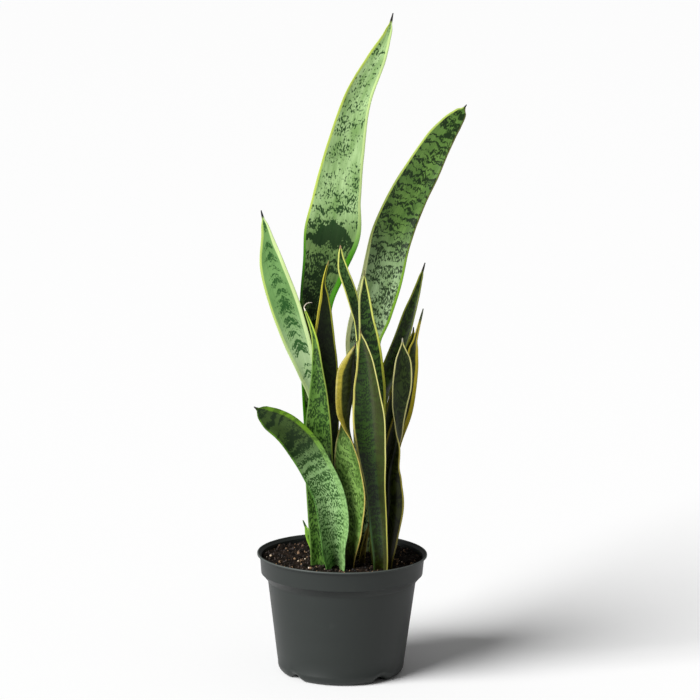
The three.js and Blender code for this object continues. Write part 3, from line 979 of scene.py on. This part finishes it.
# A blade's mesh: rings of points up its keel, each with a channelled front and a back. Every point
# also carries where it is on the leaf, in mm: across from the keel, along from the mix, half width.
def makeLeaf(name, leaf, material, seed):
    keel, form, along = leafPath(leaf)
    spikeLength, spikeWidth = leaf["tip"][:2]
    last = len(keel) - 1
    steps = leafForm["acrossSteps"]
    points, onLeaf = [], []
    for i, here in enumerate(keel):
        tangent = (keel[min(i + 1, last)] - keel[max(i - 1, 0)]).normalized()
        width, channel, turn = form[i]
        calm = min(1, width / leafForm["calmBelow"])
        waver = noise.noise(Vector((seed, 5.5, along[i] / leafForm["waver"][1]))) * leafForm["waver"][0]
        toTip = along[last] - along[i]
        spike = lerp(leafForm["pointWidth"], spikeWidth, min(1, toTip / spikeLength))
        spike += max(0, toTip - spikeLength) * leaf.get("shoulder", leafForm["shoulder"])
        halfWidth = max(min(width + waver * calm, spike), leafForm["pointWidth"]) / 2
        channel = max(channel, 0)
        facing = Vector((math.sin(math.radians(turn)), -math.cos(math.radians(turn)), 0))
        across = tangent.cross(facing).normalized()
        inward = across.cross(tangent)
        full = lerp(leafForm["thickness"], leafForm["tipThickness"], i / last)
        thickness = min(full, 2 * halfWidth * leafForm["pointFullness"])
        margin = min(leafForm["marginThickness"], thickness)
        ring = []
        for face in (1, -1):
            for j in range(steps + 1):
                s = face * (2 * j / steps - 1)
                wave = Vector((seed, 9 * math.copysign(1, s), along[i] / leafForm["ripple"][1]))
                ripple = noise.noise(wave) * leafForm["ripple"][0] * calm
                stand = channel * s * s + ripple * abs(s) ** 3
                slope = Vector((halfWidth, 2 * channel * s)).normalized()
                halfThick = lerp(margin, thickness, 1 - s * s) / 2 * face
                ring.append((halfWidth * s - slope.y * halfThick, stand + slope.x * halfThick, s))
            beyond = margin * leafForm["marginRounding"] * face
            ring.append((halfWidth * face + slope.x * beyond, stand + slope.y * beyond, face))
        for u, v, s in ring:
            points.append((here + across * u + inward * v) * mm)
            onLeaf.append((s * halfWidth, along[i], halfWidth))
        if abs(along[i]) < leafForm["ringSpacing"]:
            leafFeet.extend(here + across * u + inward * v for u, v, s in ring)
    count = 2 * steps + 4
    faces = []
    for i in range(last):
        for j in range(count):
            a, b = i * count + j, i * count + (j + 1) % count
            faces.append((a, b, b + count, a + count))
    for start in (0, last * count):
        for j in range(steps):
            k = 2 * steps + 2 - j
            faces.append((start + j, start + j + 1, start + k - 1, start + k))
        faces.append((start, start + 2 * steps + 2, start + 2 * steps + 3))
        faces.append((start + steps, start + steps + 1, start + steps + 2))
    piece = makePiece(name.replace("leaf_", "blade_"), points, faces, material)
    attribute = piece.data.attributes.new("onLeaf", "FLOAT_VECTOR", "POINT")
    attribute.data.foreach_set("vector", [c for place in onLeaf for c in place])
    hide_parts(name)


# Snake plant leaf: thick, fibrous and water-filled under a waxy skin. The wax gives a satin shine
# with long soft highlights, the fibres fine lengthwise ribs, and the pigment sits in rows of small
# dark dashes that join into ragged bands between pale margins without green.
def leafSkin(name, leaf, length, seed):
    material, tree = newMaterial("waxy_" + name)
    onLeaf = addNode(tree, "Attribute", {}, attribute_name="onLeaf")["Vector"]
    across, along, halfWidth = addNode(tree, "SeparateXYZ", {0: onLeaf})
    high = addNode(tree, "MapRange", {
        "Value": along, "From Min": leaf["change"][0], "From Max": leaf["change"][1],
    }, interpolation_type="SMOOTHSTEP")[0]
    upLeaf = {}  # numbers and colours that change from near the mix to near the point
    for key in ("lines", "dashShare", "cover", "left", "right"):
        low, top = leaf[key][:2]
        upLeaf[key] = addNode(tree, "MapRange", {"Value": high, "To Min": low, "To Max": top})[0]
    for key in ("stripe", "left", "right"):
        low, top = leaf[key][-2:]
        mixed = addNode(tree, "Mix", {"Factor": high, "A": low, "B": top}, data_type="RGBA")
        upLeaf[key + "Colour"] = mixed["Result"]
    fromKeel = addNode(tree, "Math", {0: across}, operation="ABSOLUTE")[0]
    outward = addNode(tree, "Math", {0: fromKeel, 1: halfWidth}, operation="DIVIDE")[0]

    # noise fields, each with the size of its grain in mm across and mm along
    fields = {}
    zigzagReach, zigzagPitch = leaf["zigzag"]
    grainSizes = {
        "zigzag": (zigzagPitch, 3 * zigzagPitch),
        "tone": (7, 26),
        "fibre": (0.7, 60),
        "edge": (40, 30),
        "dash": leaf["dash"],
        "bands": (leaf["bands"][1], leaf["bands"][0]),
    }
    place = onLeaf
    for i, (field, (mmAcross, mmAlong)) in enumerate(grainSizes.items()):
        if field == "bands":  # the noise strays a fifth or so from its middle
            jump = addNode(tree, "Math", {0: fields["zigzag"], 1: 0.5}, operation="SUBTRACT")[0]
            lean = addNode(tree, "Math", {0: across, 1: leaf["slant"]}, operation="MULTIPLY")[0]
            for value, times in ((fromKeel, leaf["vee"]), (jump, 5 * zigzagReach)):
                lean = addNode(tree, "Math", {0: value, 1: times, 2: lean}, operation="MULTIPLY_ADD")[0]
            shift = addNode(tree, "CombineXYZ", {"Y": lean})[0]
            place = addNode(tree, "VectorMath", {0: onLeaf, 1: shift}, operation="ADD")[0]
        grain = addNode(tree, "Mapping", {
            "Vector": place,
            "Scale": (1 / mmAcross, 1 / mmAlong, 0),
            "Location": (seed * 3.7 + i, seed * 1.3, seed + 5 * i),
        })[0]
        fields[field] = addNode(tree, "TexNoise", {"Vector": grain, "Scale": 1, "Detail": 2})["Fac"]

    # the green ground in two tones, patchy and streaked along the fibres
    patchy = addNode(tree, "MapRange", {"Value": fields["tone"], "From Min": 0.3, "From Max": 0.7})[0]
    grounds = []
    for tones in (leaf["ground"], leaf["groundHigh"] or leaf["ground"]):
        grounds.append(addNode(tree, "Mix", {
            "Factor": patchy, "A": tones[0], "B": tones[1],
        }, data_type="RGBA")["Result"])

    # dark dashes gathered into bands, or into the thin lines where the band noise is at its middle
    offMiddle = addNode(tree, "Math", {0: fields["bands"], 1: 0.5}, operation="SUBTRACT")[0]
    offMiddle = addNode(tree, "Math", {0: offMiddle}, operation="ABSOLUTE")[0]
    pattern = fields["bands"]
    thin = addNode(tree, "MapRange", {
        "Value": offMiddle, "From Max": 0.1, "To Min": 0.66, "To Max": 0.42,
    })[0]
    for share, other in ((upLeaf["lines"], thin), (upLeaf["dashShare"], fields["dash"])):
        pattern = addNode(tree, "Mix", {"Factor": share, "A": pattern, "B": other})[0]
    middle = addNode(tree, "MapRange", {
        "Value": outward, "From Min": 0.2, "From Max": 0.8,
        "To Min": leaf["keelCover"], "To Max": -leaf["keelCover"],
    })[0]
    for more in (upLeaf["cover"], middle):
        pattern = addNode(tree, "Math", {0: pattern, 1: more}, operation="ADD")[0]
    bandAlong = addNode(tree, "SeparateXYZ", {0: place})["Y"]
    overKeel = addNode(tree, "MapRange", {
        "Value": outward, "From Min": 0.1, "From Max": 0.7, "To Min": 1, "To Max": 0,
    })[0]
    for lowEdge, highEdge, peak, strength in leaf["blotches"]:
        fadeIn, fadeOut = skinForm["blotchFoot"], skinForm["blotchTop"]
        bottom = addNode(tree, "MapRange", {
            "Value": bandAlong, "From Min": lowEdge + fadeIn[0], "From Max": lowEdge + fadeIn[1],
        }, interpolation_type="SMOOTHSTEP")[0]
        over = addNode(tree, "Math", {0: overKeel, 1: -peak, 2: bandAlong}, operation="MULTIPLY_ADD")[0]
        top = addNode(tree, "MapRange", {
            "Value": over, "From Min": highEdge + fadeOut[0], "From Max": highEdge + fadeOut[1],
            "To Min": strength, "To Max": 0,
        }, interpolation_type="SMOOTHSTEP")[0]
        pattern = addNode(tree, "Math", {0: bottom, 1: top, 2: pattern}, operation="MULTIPLY_ADD")[0]
    striped = addNode(tree, "MapRange", {
        "Value": pattern, "From Min": darkAbove - leaf["soft"], "From Max": darkAbove + leaf["soft"],
        "To Max": leaf["stripeStrength"],
    }, interpolation_type="SMOOTHSTEP")[0]

    # what lies over the lower ground, from the bottom up
    layers = [(high, grounds[1]), (striped, upLeaf["stripeColour"])]
    # painted sheen: a grey tone on the half right of the keel stands in for a reflection of the key light
    paintedSheenColour, paintedSheenStrength = leaf["paintedSheen"]
    paintedSheenShare = addNode(tree, "MapRange", {
        "Value": across, "From Min": -1.5, "From Max": 2, "To Max": paintedSheenStrength,
    }, interpolation_type="SMOOTHSTEP")[0]
    layers.append((paintedSheenShare, paintedSheenColour))

    # pale margins, whose inner line wanders and which never take more than half of a narrow blade
    widest = addNode(tree, "Math", {0: halfWidth, 1: skinForm["marginMost"]}, operation="MULTIPLY")[0]
    stray = skinForm["marginWander"]
    wander = addNode(tree, "MapRange", {"Value": fields["edge"], "To Min": -stray, "To Max": stray})[0]
    plain = addNode(tree, "Math", {0: striped, 1: -leaf["mottle"], 2: 1}, operation="MULTIPLY_ADD")[0]
    for side, sign in (("left", 1), ("right", -1)):
        fromEdge = addNode(tree, "Math", {0: across, 1: sign, 2: halfWidth}, operation="MULTIPLY_ADD")[0]
        width = addNode(tree, "Math", {0: upLeaf[side], 1: widest}, operation="MINIMUM")[0]
        inside = addNode(tree, "Math", {0: fromEdge, 1: width}, operation="SUBTRACT")[0]
        inside = addNode(tree, "Math", {0: inside, 1: wander}, operation="ADD")[0]
        onMargin = addNode(tree, "MapRange", {
            "Value": inside, "From Min": -leaf["marginBlend"], "From Max": leaf["marginBlend"],
            "To Min": 1, "To Max": 0,
        }, interpolation_type="SMOOTHSTEP")[0]
        onMargin = addNode(tree, "Math", {0: onMargin, 1: plain}, operation="MULTIPLY")[0]
        layers.append((onMargin, upLeaf[side + "Colour"]))
    colour = grounds[0]
    for share, tone in layers:
        colour = addNode(tree, "Mix", {"Factor": share, "A": colour, "B": tone}, data_type="RGBA")["Result"]

    # fibre streaks over all of it, a tint above the mix and a dry point
    darker, lighter = skinForm["streak"]
    streak = addNode(tree, "MapRange", {
        "Value": fields["fibre"], "From Min": 0.3, "From Max": 0.7, "To Min": darker, "To Max": lighter,
    })[0]
    colour = addNode(tree, "Mix", {
        "Factor": 1, "A": colour, "B": streak,
    }, data_type="RGBA", blend_type="MULTIPLY")["Result"]
    footHeight, footColour, footStrength = leaf["foot"]
    spikeLength, spikeColour = leaf["tip"][0], leaf["tip"][2]
    dryFrom = length - spikeLength
    for low, top, first, last, tone in (
        (0, footHeight, footStrength, 0, footColour),
        (dryFrom, dryFrom + spikeLength * 0.4, 0, 1, spikeColour),
    ):
        share = addNode(tree, "MapRange", {
            "Value": along, "From Min": low, "From Max": top, "To Min": first, "To Max": last,
        }, interpolation_type="SMOOTHSTEP")[0]
        colour = addNode(tree, "Mix", {"Factor": share, "A": colour, "B": tone}, data_type="RGBA")["Result"]

    rough = addNode(tree, "MapRange", {
        "Value": fields["tone"], "To Min": leaf["sheen"][0], "To Max": leaf["sheen"][1],
    })[0]
    # ribs are about 0.5 mm apart and hardly raised
    bump = addNode(tree, "Bump", {"Height": fields["fibre"], "Strength": 0.25, "Distance": 0.0003})[0]
    shader = addNode(tree, "BsdfPrincipled", {
        "Base Color": colour,
        "Roughness": rough,
        "IOR": 1.45,
        "Specular IOR Level": leaf["gloss"],
        "Normal": bump,
    })
    addNode(tree, "OutputMaterial", {"Surface": shader[0]})
    return material


leafFeet = []  # points round each leaf where it comes out of the mix
for seed, (name, own) in enumerate(leaves.items(), start=1):
    leaf = {**leafLook, **own}
    makeLeaf(name, leaf, leafSkin(name, leaf, leafPath(leaf)[2][-1], seed), seed)
print("leaves grown:", len(leaves))

# Dry thread: the torn, dried edge at the top of leaf_left_front, which curls up and over.
# Dead fibre is pale, matt and papery, and browner where it is thickest.
dryThread = {
    "points": [  # x, y and rise above the mix
        (-39, -12.6, 248),
        (-38, -12.9, 250.3),
        (-36, -13.2, 252.2),
        (-33.4, -13.4, 253),
        (-31, -13, 252.6),
    ],
    "radius": (0.6, 0.22),  # at its root and at its end
    "sides": 8,
    "steps": 6,  # rings from one point to the next
    "tones": ("#7b6a55", "#d8d0c0"),
    "patch": 3,
}


def dryFibre():
    material, tree = newMaterial("dry_leaf_fibre")
    place = addNode(tree, "TexCoord", {})["Object"]
    patchScale = 1 / (dryThread["patch"] * mm)
    patch = addNode(tree, "TexNoise", {"Vector": place, "Scale": patchScale, "Detail": 3})["Fac"]
    colour = addNode(tree, "Mix", {
        "Factor": patch, "A": dryThread["tones"][0], "B": dryThread["tones"][1],
    }, data_type="RGBA")["Result"]
    bump = addNode(tree, "Bump", {"Height": patch, "Strength": 0.4, "Distance": 0.0003})[0]
    shader = addNode(tree, "BsdfPrincipled", {"Base Color": colour, "Roughness": 0.8, "Normal": bump})
    addNode(tree, "OutputMaterial", {"Surface": shader[0]})
    return material


knots = [Vector((x, y, soilTop + rise)) for x, y, rise in dryThread["points"]]
threadPath = smoothPath(knots, [dryThread["steps"]] * (len(knots) - 1), tension=0.5)
points, faces = [], []
sides = dryThread["sides"]
lastRing = len(threadPath) - 1
for i, centre in enumerate(threadPath):
    ahead = (threadPath[min(i + 1, lastRing)] - threadPath[max(i - 1, 0)]).normalized()
    outwards = ahead.cross(Vector((0, 1, 0))).normalized()
    over = ahead.cross(outwards)
    radius = lerp(*dryThread["radius"], i / lastRing)
    for k in range(sides):
        turn = 2 * math.pi * k / sides
        points.append((centre + radius * (outwards * math.cos(turn) + over * math.sin(turn))) * mm)
    if i:
        first = (i - 1) * sides
        faces += [
            [first + k, first + (k + 1) % sides, first + (k + 1) % sides + sides, first + k + sides]
            for k in range(sides)
        ]
endRing = lastRing * sides
faces += [list(range(sides))[::-1], list(range(endRing, endRing + sides))]
makePiece("dry_thread", points, faces, dryFibre())
print("dry thread made")

# Loose grains on the mix
grains = {
    "peat_crumbs": {
        "count": 900,
        "size": (0.5, 1.7),
        "shape": (1, 0.8, 0.7),
        "colours": ("#080504", "#33241a"),
        "seed": 3,
    },
    "bark_chips": {
        "count": 170,
        "size": (0.6, 2.2),
        "shape": (1.3, 0.8, 0.45),
        "colours": ("#9c7c59", "#3d291c"),
        "seed": 4,
    },
    "perlite_grains": {
        "count": 46,
        "size": (0.5, 1.4),
        "shape": (1, 0.9, 0.8),
        "colours": ("#e4d6c2", "#b39a7c"),
        "seed": 8,
    },
}
scatter = {
    "gapToWall": 2,
    "gapToLeaf": 0.8,
    "raised": 0.25,  # how much of its size a grain stands above the bed
    "lumpiness": (0.35, 1.7),  # how far its surface strays, and how finely
    "tintPatch": 4,
    "pitting": 0.8,
}


# Screened peat crumbs, shredded pine bark and expanded perlite: all dry-matt, each its own tint.
def grainMatter(name, grain):
    material, tree = newMaterial(name + "_matter")
    place = addNode(tree, "TexCoord", {})["Object"]
    tintScale = 1 / (scatter["tintPatch"] * mm)
    tint = addNode(tree, "TexNoise", {"Vector": place, "Scale": tintScale, "Detail": 3})["Fac"]
    share = addNode(tree, "MapRange", {"Value": tint, "From Min": 0.35, "From Max": 0.65})[0]
    colour = addNode(tree, "Mix", {
        "Factor": share, "A": grain["colours"][0], "B": grain["colours"][1],
    }, data_type="RGBA")["Result"]
    pitScale = 1 / (scatter["pitting"] * mm)
    fine = addNode(tree, "TexNoise", {"Vector": place, "Scale": pitScale, "Detail": 3})["Fac"]
    bump = addNode(tree, "Bump", {"Height": fine, "Strength": 0.6, "Distance": 0.0004})[0]
    shader = addNode(tree, "BsdfPrincipled", {"Base Color": colour, "Roughness": 0.75, "Normal": bump})
    addNode(tree, "OutputMaterial", {"Surface": shader[0]})
    return material


strays, finely = scatter["lumpiness"]
ball = bmesh.new()
bmesh.ops.create_icosphere(ball, subdivisions=2, radius=1)
ballPoints = [v.co.copy() for v in ball.verts]
ballFaces = [[v.index for v in f.verts] for f in ball.faces]
ball.free()
for name, grain in grains.items():
    chance = random.Random(grain["seed"])
    points, faces = [], []
    made = 0
    while made < grain["count"]:
        radius = (mixRadius - scatter["gapToWall"]) * math.sqrt(chance.random())
        angle = chance.uniform(0, 2 * math.pi)
        x, y = radius * math.cos(angle), radius * math.sin(angle)
        size = lerp(*grain["size"], chance.random() ** 2)
        turned = Euler([chance.uniform(0, 2 * math.pi) for axis in range(3)]).to_matrix()
        if any(math.hypot(x - p.x, y - p.y) < size + scatter["gapToLeaf"] for p in leafFeet):
            continue
        flat = Matrix.Diagonal(Vector(grain["shape"]) * size)
        centre = Vector((x, y, mixHeight(x, y) + size * scatter["raised"]))
        first = len(points)
        for corner in ballPoints:
            lumpy = 1 + strays * noise.noise(corner * finely + Vector((made, 0, 0)))
            points.append((centre + turned @ (flat @ (corner * lumpy))) * mm)
        faces += [[first + k for k in face] for face in ballFaces]
        made += 1
    makePiece(name, points, faces, grainMatter(name, grain))
print("grains scattered")


# Rhizome: the CAD's own mesh. A fleshy underground stem with a thin tan cork skin, matt, with
# darker scars where old leaves were.
cork = {"tones": ("#c59a63", "#7d5a34"), "scar": 8}


def rhizomeCork():
    material, tree = newMaterial("rhizome_cork")
    place = addNode(tree, "TexCoord", {})["Object"]
    scars = addNode(tree, "TexNoise", {"Vector": place, "Scale": 1 / (cork["scar"] * mm), "Detail": 4})["Fac"]
    colour = addNode(tree, "Mix", {
        "Factor": scars, "A": cork["tones"][0], "B": cork["tones"][1],
    }, data_type="RGBA")["Result"]
    bump = addNode(tree, "Bump", {"Height": scars, "Strength": 0.5, "Distance": 0.001})[0]
    shader = addNode(tree, "BsdfPrincipled", {"Base Color": colour, "Roughness": 0.8, "Normal": bump})
    addNode(tree, "OutputMaterial", {"Surface": shader[0]})
    return material


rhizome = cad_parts["rhizome"]
rhizome.data.materials.clear()
rhizome.data.materials.append(rhizomeCork())
